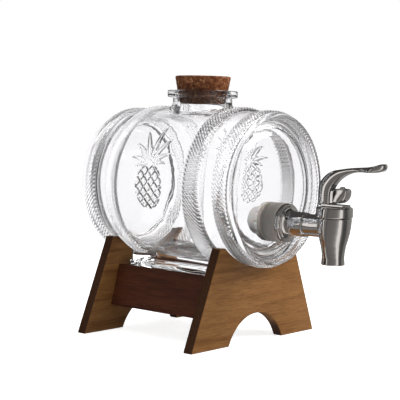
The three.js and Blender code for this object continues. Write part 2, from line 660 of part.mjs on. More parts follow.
const WOOD = [0x9a6a3c, 0.55, 0];
const CHROME = [0xc9cacc, 0.06, 1];
const STEEL = [0xa9abad, 0.3, 1];
const SILICONE = [0xcfccc6, 0.5, 0];

for (const [endName, end] of Object.entries(ENDS)) {
  addPiece(`stand_${endName}_panel`, endPanel(end), ...WOOD);
}
for (const [sideName, side] of Object.entries(SIDES)) {
  addPiece(`stand_${sideName}_stretcher`, stretcher(side), 0x5a2f1a, 0.55, 0);
  for (const [endName, end] of Object.entries(ENDS)) {
    for (const [levelName, level] of Object.entries(LEVELS)) {
      addPiece(`stand_dowel_${sideName}_${endName}_${levelName}`, dowel(side, end, level), ...WOOD);
    }
  }
}

addPiece('glass_barrel', glassBarrel(), 0xf4f8f8, 0.03, 0, { transparent: true, opacity: 0.35 });
addPiece('cork_stopper', corkStopper(), 0x8a5a38, 0.85, 0);

addPiece('tap_body', tapBody(), ...CHROME);
addPiece('tap_bonnet', tapBonnet(), ...CHROME);
addPiece('bonnet_seal', bonnetSeal(), ...SILICONE);
addPiece('outer_gasket', shankWasher(OUTER_GASKET_START, OUTER_GASKET_END), ...SILICONE);
addPiece('inner_gasket', shankWasher(INNER_GASKET_START, INNER_GASKET_END), ...SILICONE);
addPiece('lock_nut', lockNut(), 0xa39c92, 0.5, 0);

addPiece('valve_seat_cup', valveSeatCup(), ...SILICONE);
addPiece('valve_stem', valveStem(), ...STEEL);
addPiece('spring_washer', springWasher(), ...STEEL);
addPiece('stem_spring', stemSpring(), ...STEEL);
addPiece('stem_head', stemHead(), ...CHROME);
addPiece('lever_pin', leverPin(), ...STEEL);
addPiece('tap_lever', tapLever(), ...CHROME);

export default group;
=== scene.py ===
"""Looks of the glass barrel drink dispenser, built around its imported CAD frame."""

import json
import math

import bpy
import numpy as np
from mathutils import Matrix, Vector


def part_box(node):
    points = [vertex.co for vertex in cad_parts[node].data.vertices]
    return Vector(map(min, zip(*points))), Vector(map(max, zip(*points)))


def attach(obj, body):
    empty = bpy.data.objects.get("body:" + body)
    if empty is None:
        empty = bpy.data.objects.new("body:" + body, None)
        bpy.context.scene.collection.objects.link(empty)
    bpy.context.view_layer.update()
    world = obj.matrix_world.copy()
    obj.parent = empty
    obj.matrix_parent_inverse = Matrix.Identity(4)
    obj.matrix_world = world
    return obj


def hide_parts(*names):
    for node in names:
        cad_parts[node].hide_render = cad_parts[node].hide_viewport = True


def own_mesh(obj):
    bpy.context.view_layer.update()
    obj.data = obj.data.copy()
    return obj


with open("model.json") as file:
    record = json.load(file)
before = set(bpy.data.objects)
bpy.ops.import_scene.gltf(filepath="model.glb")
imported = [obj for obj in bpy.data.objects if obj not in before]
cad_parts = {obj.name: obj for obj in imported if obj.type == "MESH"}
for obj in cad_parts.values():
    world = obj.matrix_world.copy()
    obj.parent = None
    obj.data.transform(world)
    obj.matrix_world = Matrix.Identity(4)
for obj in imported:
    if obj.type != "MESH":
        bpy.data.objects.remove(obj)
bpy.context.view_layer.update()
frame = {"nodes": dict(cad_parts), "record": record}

MM = 0.001
TAU = 2 * math.pi

# ---------- places and sizes, from the frame ----------

opening_box = {item["name"]: item["box_m"] for item in frame["record"]["physics"]["openings"]}
joint = {item["name"]: item for item in frame["record"]["behaviour"]["joints"]}


def middle(node):
    low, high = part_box(node)
    return (low + high) / 2


BARREL_LOW, BARREL_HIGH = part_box("glass_barrel")
BARREL_Y = middle("glass_barrel").y
BARREL_HALF = (BARREL_HIGH.y - BARREL_LOW.y) / 2
AXIS_Z = sum(corner[2] for corner in opening_box["barrel_interior"]) / 2
LIP_TOP = BARREL_HIGH.z
FOOT_BOTTOM = BARREL_LOW.z
CORK_LOW, CORK_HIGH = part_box("cork_stopper")
VALVE_Y = middle("tap_bonnet").y
SHANK_Z = middle("outer_gasket").z
SPOUT_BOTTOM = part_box("tap_body")[0].z
BONNET_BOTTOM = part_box("tap_bonnet")[0].z
BONNET_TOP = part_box("tap_bonnet")[1].z
HINGE = Vector(joint["lever_tilt"]["pos_m"])

# ---------- mesh tools ----------


def make_object(name, points, faces):
    mesh = bpy.data.meshes.new(name)
    mesh.from_pydata([tuple(point) for point in points], [], [tuple(face) for face in faces])
    mesh.validate()
    mesh.update()
    obj = bpy.data.objects.new(name, mesh)
    bpy.context.scene.collection.objects.link(obj)
    return obj


def set_shading(obj, sharp_degrees):
    for polygon in obj.data.polygons:
        polygon.use_smooth = True
    obj.data.set_sharp_from_angle(angle=math.radians(sharp_degrees))


def bake_modifiers(obj):
    """Applies the object's modifiers to its mesh."""
    graph = bpy.context.evaluated_depsgraph_get()
    graph.update()
    baked = bpy.data.meshes.new_from_object(obj.evaluated_get(graph))
    obj.modifiers.clear()
    obj.data = baked
    return obj


def combine(obj, tool, operation):
    """Joins the tool to the object, or cuts it away, and removes the tool."""
    modifier = obj.modifiers.new(operation.lower(), "BOOLEAN")
    modifier.solver = "MANIFOLD"
    modifier.operation = operation
    modifier.object = tool
    bake_modifiers(obj)
    bpy.data.objects.remove(tool)
    return obj


def joined(obj, *tools):
    for tool in tools:
        combine(obj, tool, "UNION")
    return obj


def cut(obj, *tools):
    for tool in tools:
        combine(obj, tool, "DIFFERENCE")
    return obj


def bevel(obj, width, segments, degrees):
    modifier = obj.modifiers.new("bevel", "BEVEL")
    modifier.width = width
    modifier.segments = segments
    modifier.limit_method = "ANGLE"
    modifier.angle_limit = math.radians(degrees)
    return bake_modifiers(obj)


def facing_out(points, faces):
    """Turns all faces round when the closed mesh is inside out."""
    volume = 0.0
    for face in faces:
        for second, third in zip(face[1:-1], face[2:]):
            volume += np.dot(points[face[0]], np.cross(points[second], points[third]))
    return faces if volume > 0 else [face[::-1] for face in faces]


def tube_faces(rows, columns):
    """Quads between closed rows of points, and one cap on each end."""
    faces = []
    for row in range(rows - 1):
        for column in range(columns):
            following = (column + 1) % columns
            faces.append((row * columns + column, row * columns + following,
                          (row + 1) * columns + following, (row + 1) * columns + column))
    faces.append(tuple(range(columns))[::-1])
    faces.append(tuple((rows - 1) * columns + column for column in range(columns)))
    return faces


def loft(name, sections):
    """A closed solid through sections, each a closed loop of as many points."""
    points = np.concatenate([np.asarray(section, float) for section in sections])
    faces = tube_faces(len(sections), len(sections[0]))
    return make_object(name, points, facing_out(points, faces))


def rounded_profile(corners, fillet, steps):
    """Rounds the corners of a [radius, height] outline, in millimetres; the ends on the axis stay."""
    smooth = [corners[0]]
    for before, corner, after in zip(corners[:-2], corners[1:-1], corners[2:]):
        before, corner, after = (np.array(point, float) for point in (before, corner, after))
        reach = min(fillet, 0.45 * np.linalg.norm(before - corner), 0.45 * np.linalg.norm(after - corner))
        start = corner + (before - corner) / np.linalg.norm(before - corner) * reach
        end = corner + (after - corner) / np.linalg.norm(after - corner) * reach
        for step in range(steps + 1):
            t = step / steps
            smooth.append((1 - t) ** 2 * start + 2 * t * (1 - t) * corner + t ** 2 * end)
    smooth.append(corners[-1])
    return [(float(radius), float(height)) for radius, height in smooth]


def turned(name, corners, segments, fillet, steps):
    """A solid turned about Z from [radius, z] corners in millimetres that start and end on the axis."""
    profile = rounded_profile(corners, fillet, steps)
    angles = np.linspace(0, TAU, segments, endpoint=False)
    circle = np.stack([np.cos(angles), np.sin(angles)], 1)
    points = [(0, 0, profile[0][1])]
    rings = profile[1:-1]
    for radius, height in rings:
        points.extend((radius * x, radius * y, height) for x, y in circle)
    points.append((0, 0, profile[-1][1]))
    faces = []
    last = len(points) - 1
    for column in range(segments):
        following = (column + 1) % segments
        faces.append((0, 1 + following, 1 + column))
        for row in range(len(rings) - 1):
            base = 1 + row * segments
            faces.append((base + column, base + following,
                          base + segments + following, base + segments + column))
        base = 1 + (len(rings) - 1) * segments
        faces.append((base + column, base + following, last))
    points = np.array(points) * MM
    return make_object(name, points, facing_out(points, faces))


def move(obj, matrix):
    """Moves the mesh itself, so that the object stays at the origin."""
    obj.data.transform(matrix)
    obj.data.update()
    return obj


def on_barrel(obj):
    return move(obj, Matrix.Translation((0, BARREL_Y, 0)))


def on_valve(obj):
    return move(obj, Matrix.Translation((0, VALVE_Y, 0)))


def on_shank(obj):
    """Lays a piece turned about Z along the shank: its heights become distances forward of the barrel."""
    return move(obj, Matrix.Translation((0, BARREL_Y, SHANK_Z)) @ Matrix.Rotation(math.pi / 2, 4, "X"))


def box_tool(low, high):
    points = [(x, y, z) for x in (low[0], high[0]) for y in (low[1], high[1]) for z in (low[2], high[2])]
    faces = [(0, 1, 3, 2), (4, 6, 7, 5), (0, 4, 5, 1), (2, 3, 7, 6), (0, 2, 6, 4), (1, 5, 7, 3)]
    points = np.array(points)
    return make_object("tool", points, facing_out(points, faces))


def bar_along_x(radius, low_x, high_x, y, z, segments=32):
    """A round bar along X, in metres."""
    angles = np.linspace(0, TAU, segments, endpoint=False)
    loops = [[(x, y + radius * math.cos(angle), z + radius * math.sin(angle)) for angle in angles]
             for x in (low_x, high_x)]
    return loft("tool", loops)


# ---------- materials ----------


class Nodes:
    """Short calls for building one material's node tree."""

    def __init__(self, name):
        self.material = bpy.data.materials.new(name)
        self.material.use_nodes = True
        self.tree = self.material.node_tree
        self.tree.nodes.clear()
        self.output = self.add("OutputMaterial")
        self.shader = self.add("BsdfPrincipled")
        self.link(self.shader.outputs[0], self.output.inputs["Surface"])

    def add(self, kind):
        return self.tree.nodes.new("ShaderNode" + kind)

    def link(self, source, target):
        self.tree.links.new(source, target)

    def axes(self, vector):
        """The X, Y and Z of a vector socket."""
        node = self.add("SeparateXYZ")
        self.link(vector, node.inputs[0])
        return node.outputs

    def set(self, **values):
        for key, value in values.items():
            self.shader.inputs[key.replace("_", " ")].default_value = value

    def place(self, scale=(1, 1, 1), rotation=(0, 0, 0)):
        """Object coordinates, in metres, scaled along each axis."""
        source = self.add("TexCoord")
        mapping = self.add("Mapping")
        mapping.inputs["Scale"].default_value = scale
        mapping.inputs["Rotation"].default_value = rotation
        self.link(source.outputs["Object"], mapping.inputs["Vector"])
        return mapping.outputs["Vector"]

    def noise(self, vector, scale, detail, roughness, distortion=0.0):
        node = self.add("TexNoise")
        self.link(vector, node.inputs["Vector"])
        node.inputs["Scale"].default_value = scale
        node.inputs["Detail"].default_value = detail
        node.inputs["Roughness"].default_value = roughness
        node.inputs["Distortion"].default_value = distortion
        return node.outputs["Fac"]

    def cells(self, vector, scale, feature, output="Distance"):
        node = self.add("TexVoronoi")
        node.feature = feature
        self.link(vector, node.inputs["Vector"])
        node.inputs["Scale"].default_value = scale
        return node.outputs[output]

    def ramp(self, factor, stops):
        """Colours, or greys where a stop is a number, along a factor."""
        node = self.add("ValToRGB")
        elements = node.color_ramp.elements
        while len(elements) < len(stops):
            elements.new(0.5)
        for element, (position, colour) in zip(elements, stops):
            element.position = position
            shade = (colour, colour, colour) if isinstance(colour, (int, float)) else colour
            element.color = (*shade, 1)
        self.link(factor, node.inputs["Fac"])
        return node.outputs["Color"]

    def mix(self, factor, first, second):
        """Blends two colours; each may be a socket or a colour, the factor a socket or a number."""
        node = self.add("Mix")
        node.data_type = "RGBA"
        for socket, value in ((node.inputs[0], factor), (node.inputs[6], first), (node.inputs[7], second)):
            if isinstance(value, bpy.types.NodeSocket):
                self.link(value, socket)
            elif isinstance(value, tuple):
                socket.default_value = (*value, 1)
            else:
                socket.default_value = value
        return node.outputs[2]

    def maths(self, operation, first, second=None):
        node = self.add("Math")
        node.operation = operation
        for socket, value in zip(node.inputs, (first, second)):
            if isinstance(value, bpy.types.NodeSocket):
                self.link(value, socket)
            elif value is not None:
                socket.default_value = value
        return node.outputs[0]

    def emission(self, colour, strength):
        node = self.add("Emission")
        node.inputs["Color"].default_value = (*colour, 1)
        self.link(strength, node.inputs["Strength"])
        return node.outputs[0]

    def mix_shader(self, factor, first, second):
        node = self.add("MixShader")
        for source, target in zip((factor, first, second), node.inputs):
            self.link(source, target)
        return node.outputs[0]

    def bump(self, height, strength, distance):
        node = self.add("Bump")
        node.inputs["Strength"].default_value = strength
        node.inputs["Distance"].default_value = distance
        self.link(height, node.inputs["Height"])
        self.link(node.outputs["Normal"], self.shader.inputs["Normal"])

    def colour(self, socket):
        self.link(socket, self.shader.inputs["Base Color"])

    def roughness(self, socket):
        self.link(socket, self.shader.inputs["Roughness"])


def wood_material(name, light, dark, end_grain_and_shade, seed):
    """Satin wood with grain along one horizontal axis: X on the panels, Y on the stretchers. Faces across
    the grain take a darker colour that is partly end grain and partly painted shade.
    """
    nodes = Nodes(name)
    along_x = name != "stretcher_wood"
    stretch = (9, 60, 160) if along_x else (60, 9, 160)
    fine = (60, 400, 1500) if along_x else (400, 60, 1500)
    grain = nodes.noise(nodes.place(stretch, (0, 0, 0.02 * seed)), 1.0, 5, 0.6, 0.6)
    fibre = nodes.noise(nodes.place(fine), 1.0, 3, 0.6)
    pores = nodes.noise(nodes.place(tuple(2.2 * value for value in fine)), 1.0, 2, 0.5)
    base = nodes.ramp(grain, [(0.30, dark), (0.50, light), (0.72, tuple(1.12 * value for value in light))])
    streaked = nodes.mix(nodes.ramp(fibre, [(0.35, 0.55), (0.60, 0.0)]), base, dark)
    pored = nodes.mix(nodes.ramp(pores, [(0.30, 0.75), (0.40, 0.0)]), streaked,
                      tuple(0.45 * value for value in dark))
    # Faces across the grain: end grain, darkened further as painted shade.
    facing = nodes.axes(nodes.add("NewGeometry").outputs["Normal"])
    across = nodes.maths("ABSOLUTE", facing["X" if along_x else "Y"])
    is_end = nodes.ramp(across, [(0.55, 0.0), (0.80, 1.0)])
    speckle = nodes.noise(nodes.place((700, 700, 700)), 1.0, 2, 0.5)
    end_grain_and_shade_colour = nodes.mix(nodes.ramp(speckle, [(0.35, 0.6), (0.6, 0.0)]), end_grain_and_shade,
                           tuple(0.5 * value for value in end_grain_and_shade))
    nodes.colour(nodes.mix(is_end, pored, end_grain_and_shade_colour))
    nodes.roughness(nodes.ramp(fibre, [(0.3, 0.52), (0.7, 0.40)]))
    nodes.set(Coat_Weight=0.05, Coat_Roughness=0.3, Specular_IOR_Level=0.22)
    nodes.bump(nodes.mix(0.4, fibre, pores), 0.25, 0.3 * MM)
    return nodes.material


def glass_material():
    """Clear moulded glass, with the faint unevenness of a pressed surface."""
    nodes = Nodes("clear_glass")
    nodes.set(Base_Color=(1.0, 1.0, 1.0, 1), Roughness=0.0, IOR=1.48, Transmission_Weight=1.0)
    wave = nodes.noise(nodes.place((55, 55, 55)), 1.0, 2, 0.5)
    nodes.bump(wave, 0.12, 1.2 * MM)
    return nodes.material


def chrome_material():
    """Polished plating with faint swirls and a trace of fingerprints."""
    tint = (0.80, 0.80, 0.81)
    roughness = 0.05
    nodes = Nodes("chrome")
    smudge = nodes.noise(nodes.place((90, 90, 90)), 1.0, 4, 0.6, 1.0)
    nodes.colour(nodes.ramp(smudge, [(0.3, tuple(0.93 * value for value in tint)), (0.65, tint)]))
    nodes.roughness(nodes.ramp(smudge, [(0.35, roughness), (0.7, roughness + 0.05)]))
    nodes.set(Metallic=1.0)
    nodes.bump(nodes.noise(nodes.place((260, 260, 260)), 1.0, 2, 0.5), 0.02, 0.1 * MM)
    return nodes.material


def steel_material():
    """Drawn and turned steel: fine rings across the axis."""
    nodes = Nodes("steel")
    rings = nodes.noise(nodes.place((200, 200, 4000)), 1.0, 2, 0.5)
    nodes.colour(nodes.ramp(rings, [(0.3, 0.42), (0.7, 0.60)]))
    nodes.roughness(nodes.ramp(rings, [(0.3, 0.36), (0.7, 0.24)]))
    nodes.set(Metallic=1.0)
    nodes.bump(rings, 0.1, 0.1 * MM)
    return nodes.material


def soft_material(name, shade, roughness, light_through):
    """Matt moulded plastic or silicone with a fine grain."""
    nodes = Nodes(name)
    mottle = nodes.noise(nodes.place((160, 160, 160)), 1.0, 4, 0.6)
    nodes.colour(nodes.ramp(mottle, [(0.3, tuple(0.88 * value for value in shade)), (0.7, shade)]))
    nodes.roughness(nodes.ramp(mottle, [(0.3, roughness), (0.7, roughness + 0.12)]))
    nodes.set(Subsurface_Weight=light_through, Subsurface_Scale=0.003)
    nodes.bump(nodes.noise(nodes.place((1400, 1400, 1400)), 1.0, 2, 0.5), 0.08, 0.1 * MM)
    return nodes.material


def cork_material():
    """Pressed cork: granules of several browns with dark gaps and pits."""
    nodes = Nodes("cork")
    place = nodes.place((1, 1, 1))
    granules_per_metre = 620
    granule = nodes.cells(place, granules_per_metre, "F1", "Color")
    tone = nodes.add("SeparateColor")
    nodes.link(granule, tone.inputs[0])
    base = nodes.ramp(tone.outputs[0], [(0.0, (0.140, 0.042, 0.015)), (0.35, (0.232, 0.078, 0.029)),
                                        (0.75, (0.325, 0.126, 0.052)), (1.0, (0.43, 0.20, 0.095))])
    gaps = nodes.cells(place, granules_per_metre, "DISTANCE_TO_EDGE")
    pits = nodes.noise(place, 900, 3, 0.6)
    gapped = nodes.mix(nodes.ramp(gaps, [(0.0, 0.75), (0.10, 0.0)]), base, (0.035, 0.014, 0.008))
    pitted = nodes.mix(nodes.ramp(pits, [(0.33, 0.8), (0.45, 0.0)]), gapped, (0.025, 0.010, 0.006))
    nodes.colour(pitted)
    nodes.set(Roughness=0.85, Specular_IOR_Level=0.25)
    nodes.bump(nodes.mix(0.5, gaps, pits), 0.6, 0.5 * MM)
    return nodes.material


# The panels' third colour is for their side edges: end grain, darkened further as painted shade.
PANEL_WOOD = wood_material("panel_wood", (0.29, 0.136, 0.042), (0.15, 0.058, 0.015),
                           (0.065, 0.024, 0.008), 1)
# Stretcher colours, far darker than the panel wood: painted shade on the stretchers.
SHADED_STRETCHER_WOOD = wood_material("stretcher_wood", (0.105, 0.030, 0.012), (0.045, 0.012, 0.006),
                               (0.04, 0.015, 0.008), 2)
DOWEL_WOOD = wood_material("dowel_wood", (0.50, 0.34, 0.19), (0.38, 0.24, 0.12), (0.42, 0.28, 0.15), 3)
GLASS = glass_material()
CHROME = chrome_material()
STEEL = steel_material()
SILICONE = soft_material("silicone", (0.36, 0.335, 0.31), 0.45, 0.3)
NUT_PLASTIC = soft_material("nut_plastic", (0.62, 0.60, 0.58), 0.40, 0.2)
CORK = cork_material()


def finish_piece(obj, body, slot, material, *nodes, sharp_degrees=40):
    """Dresses a piece, ties it to its CAD body and hides the nodes that it stands for. The slot argument is
    not used.
    """
    obj.data.materials.clear()
    obj.data.materials.append(material)
    set_shading(obj, sharp_degrees)
    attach(obj, body)
    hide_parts(*nodes)
    return obj


def dress_node(node, material):
    """Gives a CAD node that stays visible its material."""
    obj = frame["nodes"][node]
    for material_slot in obj.material_slots:
        material_slot.material = material
    if not obj.material_slots:
        obj.data.materials.append(material)


# ---------- wooden stand ----------


def arc(centre_x, centre_z, radius, start, end, count):
    """Points of an arc in X and Z."""
    angles = np.linspace(start, end, count)
    return [(centre_x + radius * math.cos(a), centre_z + radius * math.sin(a)) for a in angles]


def panel_outline(low, high):
    """Outline of an end panel: splayed sides, arch between the feet, saddle for the barrel."""
    arch_half = 30.7 * MM
    arch_height = 20.6 * MM
    top_half = 43 * MM
    saddle_radius = 54.8 * MM
    arch_radius = (arch_half ** 2 + arch_height ** 2) / (2 * arch_height)
    arch_angle = math.atan2(arch_radius - arch_height, arch_half)
    drop = AXIS_Z - high.z
    saddle_half = math.sqrt(saddle_radius ** 2 - drop ** 2)
    saddle_angle = math.atan2(-drop, saddle_half)
    outline = [(low.x, 0)]
    outline += arc(0, arch_height - arch_radius, arch_radius, math.pi - arch_angle, arch_angle, 49)
    outline += [(high.x, 0), (top_half, high.z)]
    outline += arc(0, AXIS_Z, saddle_radius, saddle_angle, -math.pi - saddle_angle, 49)
    outline += [(-top_half, high.z)]
    return outline


def make_panel(node):
    low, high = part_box(node)
    outline = panel_outline(low, high)
    loops = [[(x, y, z) for x, z in outline] for y in (low.y, high.y)]
    panel = bevel(loft(node + "_board", loops), 0.9 * MM, 3, 35)
    return finish_piece(panel, "stand", "panel_wood", PANEL_WOOD, node)


def make_stretcher(node):
    """The CAD board with its arrises rounded."""
    source = frame["nodes"][node]
    board = bpy.data.objects.new(node + "_board", source.data.copy())
    bpy.context.scene.collection.objects.link(board)
    bevel(board, 0.7 * MM, 3, 60)
    return finish_piece(board, "stand", "stretcher_wood", SHADED_STRETCHER_WOOD, node)


for panel_node in ("stand_front_panel", "stand_rear_panel"):
    make_panel(panel_node)
for stretcher_node in ("stand_left_stretcher", "stand_right_stretcher"):
    make_stretcher(stretcher_node)

# ---------- glass barrel ----------

# Millimetres from here on, where a name does not say otherwise.
RIBS = 114
RIB_SLOPE = 1.2  # travel around the barrel for each unit along it
RIB_HEIGHT = 2.0
GROOVE_WIDTH = 0.18  # share of the way from one rib to the next
INNER_BAND = {"start": 31.0, "end": 45.0, "crown": 57.5, "before": 57.1, "after": 54.9}
OUTER_BAND = {"start": 56.6, "end": 68.6, "crown": 55.5, "before": 54.5, "after": 54.6}
BAND_COLUMNS = 7 * RIBS
PLAIN_COLUMNS = 3 * RIBS
BELLY = 57.6
STRIP = 54.5
HEAD_THICKNESS = 4.0
HEAD_RECESS = 3.6
NUT_HOLE = 8.3  # radius inside the lock nut and the gaskets


def smoothstep(value):
    value = np.clip(value, 0, 1)
    return value * value * (3 - 2 * value)


def band_radius(y, theta, band):
    """Radius of a rope band: a flat cord with slanting ribs. y is the distance from the middle."""
    share = (y - band["start"]) / (band["end"] - band["start"])
    edge = band["before"] + (band["after"] - band["before"]) * share
    cord = np.clip(1 - np.abs(2 * share - 1) ** 3, 0, 1) ** 0.6
    turns = (RIBS * theta - RIB_SLOPE * RIBS / BELLY * y) / TAU
    rib = 0.3 - np.exp(-((turns - np.round(turns)) / GROOVE_WIDTH) ** 2)
    return edge + (band["crown"] - edge) * cord + RIB_HEIGHT * rib * smoothstep(1.4 * cord)


def leaf_height(u, v, lean, length, half_width, curl):
    """Relief of one pointed leaf above the fruit that bends outwards: a hollow blade in a raised edge."""
    t = np.linspace(0, 1, 32)
    bend = lean + curl * t
    step = length / (len(t) - 1)
    centre_u = np.cumsum(np.sin(bend)) * step
    centre_v = np.cumsum(np.cos(bend)) * step + FRUIT_HALF_HEIGHT - 1.5
    distance = np.hypot(u[..., None] - centre_u, v[..., None] - centre_v)
    share = t[distance.argmin(-1)]
    width = half_width * np.sin(math.pi * (0.12 + 0.88 * share) ** 0.8) + 0.15
    inside = distance.min(-1) / width
    blade = 0.35 + 0.85 * np.exp(-((inside - 0.72) / 0.26) ** 2)
    return np.where(inside < 1.15, blade * smoothstep((1.15 - inside) * 5), 0)


FRUIT_HALF_WIDTH = 13.0
FRUIT_HALF_HEIGHT = 16.8
PAD_WIDTH, PAD_HEIGHT, PAD_RELIEF = 6.8, 7.6, 1.45
# Lean, length, half width and curl of each leaf.
LEAVES = [(-0.02, 31, 2.2, -0.1), (0.3, 30, 2.1, 0.3), (-0.35, 25, 2.0, -0.45), (0.62, 25, 2.0, 0.45),
          (-0.7, 20, 1.8, -0.8), (0.95, 20, 1.8, 0.7), (-1.0, 14, 1.6, -0.9), (1.25, 14, 1.6, 0.8)]


def fruit_relief(u, v):
    """Height of a generic pineapple: an oval of diamond pads under a tuft of leaves, in millimetres."""
    oval = (u / FRUIT_HALF_WIDTH) ** 2 + (v / FRUIT_HALF_HEIGHT) ** 2
    first = u / PAD_WIDTH + v / PAD_HEIGHT
    second = u / PAD_WIDTH - v / PAD_HEIGHT
    edge = np.maximum(np.abs(first - np.round(first)), np.abs(second - np.round(second))) * 2
    pad = smoothstep((1 - edge) * 3.2) * (1 - 0.45 * smoothstep((0.45 - edge) * 4))
    body = np.where(oval < 1, PAD_RELIEF * pad * smoothstep((1 - oval) * 6), 0)
    leaves = np.zeros_like(u)
    for lean, length, half_width, curl in LEAVES:
        leaves = np.maximum(leaves, leaf_height(u, v, lean, length, half_width, curl))
    return np.maximum(body, leaves)


def belly_radius(y, theta):
    """Radius between the inner bands: a slight barrel curve, with a fruit on each side."""
    radius = BELLY - 0.5 * (y / INNER_BAND["start"]) ** 2
    for side in (0, math.pi):
        upward = (theta if side == 0 else side - theta)
        upward = (upward + math.pi) % TAU - math.pi
        radius = radius + fruit_relief(y * (1 if side else -1), upward * BELLY)
    return radius


def shell_rows():
    """Rows of the outer surface for the +Y half: distance from the middle, columns, radius."""
    half = BARREL_HALF / MM
    fruit_rows = [(y, "fruit") for y in np.arange(0.25, 17.5, 0.5)]
    plain_rows = [(y, "fruit") for y in (19, 21, 23.5, 26, 28.5, 30.4)]
    rows = [(y, kind, None) for y, kind in fruit_rows + plain_rows]
    rows += [(y, "inner", None) for y in np.linspace(INNER_BAND["start"], INNER_BAND["end"], 17)]
    rows += [(y, "plain", radius)
             for y, radius in ((45.5, 54.65), (46.2, STRIP), (51, STRIP), (55.8, STRIP))]
    rows += [(y, "outer", None) for y in np.linspace(OUTER_BAND["start"], OUTER_BAND["end"], 15)]
    for depth, radius in ((3.4, 54.7), (2.8, 54.55), (2.1, 54.25), (1.4, 53.8), (0.8, 53.2), (0.35, 52.55),
                          (0.08, 52.0), (0, 51.6), (0.15, 51.15), (0.6, 50.8), (1.4, 50.6), (2.4, 50.45),
                          (3.0, 50.25), (3.4, 49.85), (HEAD_RECESS, 49.2), (HEAD_RECESS, 47.5),
                          (HEAD_RECESS, 30), (HEAD_RECESS, 10)):
        rows.append((half - depth, "plain", radius))
    return rows


def fruit_angles():
    """Angles of the belly's columns, close together where the fruits are."""
    fine = math.radians(0.5)
    low, high = math.radians(-19), math.radians(51)
    near = np.arange(low, high, fine)
    mirrored = math.pi - near[::-1]
    top = np.linspace(high, math.pi - high, 28)[1:-1]
    bottom = np.linspace(math.pi - low, TAU + low, 50)[1:-1]
    return np.concatenate([near, top, mirrored, bottom])


def ring_points(y, kind, radius, sign, columns):
    """One closed row of points of the outer surface."""
    theta = columns[kind]
    if kind == "fruit":
        radii = belly_radius(np.full_like(theta, sign * y), theta)
    elif kind == "inner":
        radii = band_radius(y, theta, INNER_BAND)
    elif kind == "outer":
        radii = band_radius(y, theta, OUTER_BAND)
    else:
        radii = np.full_like(theta, radius)
    along = np.full_like(theta, sign * y)
    return theta, np.stack([radii * np.cos(theta), along, radii * np.sin(theta)], 1)


def stitch(first_start, first_angles, second_start, second_angles):
    """Triangles or quads between two closed rows of points, by their angles."""
    first_count, second_count = len(first_angles), len(second_angles)
    if first_count == second_count:
        return [(first_start + i, first_start + (i + 1) % first_count,
                 second_start + (i + 1) % second_count, second_start + i) for i in range(first_count)]
    faces = []
    i = j = 0
    while i < first_count or j < second_count:
        next_first = first_angles[i + 1] if i + 1 < first_count else first_angles[0] + TAU
        next_second = second_angles[j + 1] if j + 1 < second_count else second_angles[0] + TAU
        a, b = first_start + i % first_count, second_start + j % second_count
        if j >= second_count or (i < first_count and next_first <= next_second):
            faces.append((a, first_start + (i + 1) % first_count, b))
            i += 1
        else:
            faces.append((a, second_start + (j + 1) % second_count, b))
            j += 1
    return faces


def make_shell():
    """Outer surface of the barrel, closed at both heads."""
    belly = np.sort(np.mod(fruit_angles(), TAU))
    columns = {"fruit": belly,
               "inner": np.linspace(0, TAU, BAND_COLUMNS, endpoint=False),
               "outer": np.linspace(0, TAU, BAND_COLUMNS, endpoint=False),
               "plain": np.linspace(0, TAU, PLAIN_COLUMNS, endpoint=False)}
    half_rows = shell_rows()
    rows = [(row, -1) for row in half_rows[::-1]] + [(row, 1) for row in half_rows]
    points, starts, angles, faces = [], [], [], []
    count = 0
    for (y, kind, radius), sign in rows:
        theta, ring = ring_points(y, kind, radius, sign, columns)
        points.append(ring)
        starts.append(count)
        angles.append(theta)
        count += len(ring)
    for row in range(len(rows) - 1):
        faces += stitch(starts[row], angles[row], starts[row + 1], angles[row + 1])
    faces.append(tuple(range(starts[0], starts[0] + len(angles[0])))[::-1])
    faces.append(tuple(range(starts[-1], starts[-1] + len(angles[-1]))))
    points = np.concatenate(points) * MM + np.array([0, BARREL_Y, AXIS_Z])
    return make_object("glass_barrel_shell", points, facing_out(points, faces))


def make_cavity():
    """The hollow inside, with the faint waves of moulded glass on its side wall."""
    face = BARREL_HALF / MM - HEAD_RECESS - HEAD_THICKNESS
    wave_height, side_wall_from = 0.10 * MM, 40 * MM
    profile = [(0, face), (24, face), (38, face), (43.5, face - 1.2), (47.2, face - 3.9), (49.4, face - 8),
               (50.3, face - 12), (50.6, 49), (51.8, 40), (53.0, 28), (53.6, 12), (53.6, 0)]
    full = profile + [(radius, -y) for radius, y in profile[-2::-1]]
    smooth = rounded_profile(full, 3.0, 3)
    cavity = turned("tool", [(radius, y) for radius, y in smooth], 120, 0.01, 1)
    turn = Matrix.Rotation(-math.pi / 2, 4, "X")
    move(cavity, Matrix.Translation((0, BARREL_Y, AXIS_Z)) @ turn)
    for vertex in cavity.data.vertices:
        x, y, z = (value / MM for value in vertex.co)
        wave = math.sin(0.11 * y + 1.3 * math.sin(0.07 * z)) * math.sin(0.09 * z + 0.05 * x)
        radial = Vector((vertex.co.x, 0, vertex.co.z - AXIS_Z))
        if radial.length > side_wall_from:
            vertex.co += radial.normalized() * wave_height * wave
    return cavity


def make_neck():
    """Neck and lip, solid until the bore is cut."""
    top = LIP_TOP / MM
    return on_barrel(turned("tool", [
        (0, top - 30), (25.2, top - 30), (25.2, top - 15.5), (23.6, top - 12.6), (22.1, top - 10.2),
        (21.9, top - 5.4), (25.5, top - 5.0), (25.95, top - 4.5), (25.95, top - 0.5), (25.5, top),
        (0, top)], 128, 0.45, 4))


def make_bore():
    top = LIP_TOP / MM
    return on_barrel(turned("tool", [
        (0, top - 40), (18.2, top - 40), (17.5, top - 15), (17.3, top - 11), (19.15, top - 0.6),
        (19.8, top + 0.3), (19.8, top + 2), (0, top + 2)], 128, 0.5, 3))


